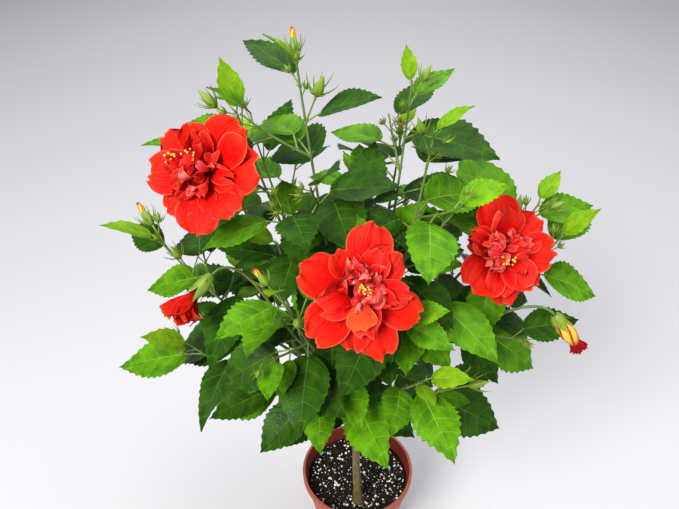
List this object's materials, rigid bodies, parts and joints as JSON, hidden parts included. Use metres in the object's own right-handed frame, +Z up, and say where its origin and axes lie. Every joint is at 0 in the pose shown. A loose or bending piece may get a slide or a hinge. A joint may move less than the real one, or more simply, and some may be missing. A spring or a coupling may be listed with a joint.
{
  "type": "potted hibiscus shrub",
  "caption": "Double red hibiscus grown as a small standard in a plastic nursery pot: one bare trunk under a round, open, leafy head with large ruffled blooms and pointed buds.",
  "frame": {"origin": "middle of the pot's flat underside, on the ground", "axes": "+Z up along the plant; the front, with the most open blooms, faces -Y; +X to the right seen from the front; millimetres in the source, metres in the row"},
  "size_m": [0.5615, 0.4301, 0.8029],
  "materials": {
    "pot": "satin moulded plastic",
    "soil": "loose damp potting mix",
    "bark": "smooth young bark",
    "leaf": "glossy leaf",
    "petal": "soft petal"
  },
  "bodies": {
    "root": {"pot": "pot", "soil": "soil", "trunk": "bark", "bough_back": "bark", "bough_back_left": "bark", "bough_back_left_low": "bark", "bough_back_right": "bark", "bough_back_right_low": "bark", "bough_bloom_faded": "bark", "bough_bloom_front": "bark", "bough_bloom_left": "bark", "bough_bloom_opening": "bark", "bough_bloom_right": "bark", "bough_front_left": "bark", "bough_front_left_low": "bark", "bough_front_low": "bark", "bough_front_fork": "bark", "bough_front_right": "bark", "bough_front_right_low": "bark", "bough_heart_front": "bark", "bough_heart_left": "bark", "bough_heart_right": "bark", "bough_heart_low": "bark", "bough_left": "bark", "bough_left_low": "bark", "bough_right": "bark", "bough_right_high": "bark", "bough_top": "bark", "bough_top_left": "bark", "bough_top_right": "bark", "bough_upper_left": "bark", "bloom_faded": "petal", "bloom_front": "petal", "bloom_left": "petal", "bloom_opening": "petal", "bloom_right": "petal", "leaves_back": "leaf", "leaves_back_left": "leaf", "leaves_back_left_low": "leaf", "leaves_back_right": "leaf", "leaves_back_right_low": "leaf", "leaves_front_left": "leaf", "leaves_front_left_low": "leaf", "leaves_front_low": "leaf", "leaves_front_fork": "leaf", "leaves_front_right": "leaf", "leaves_front_right_low": "leaf", "leaves_heart_front": "leaf", "leaves_heart_left": "leaf", "leaves_heart_right": "leaf", "leaves_heart_low": "leaf", "leaves_left": "leaf", "leaves_left_low": "leaf", "leaves_right": "leaf", "leaves_right_high": "leaf", "leaves_top": "leaf", "leaves_top_left": "leaf", "leaves_top_right": "leaf", "leaves_upper_left": "leaf"}
  },
  "joints": []
}
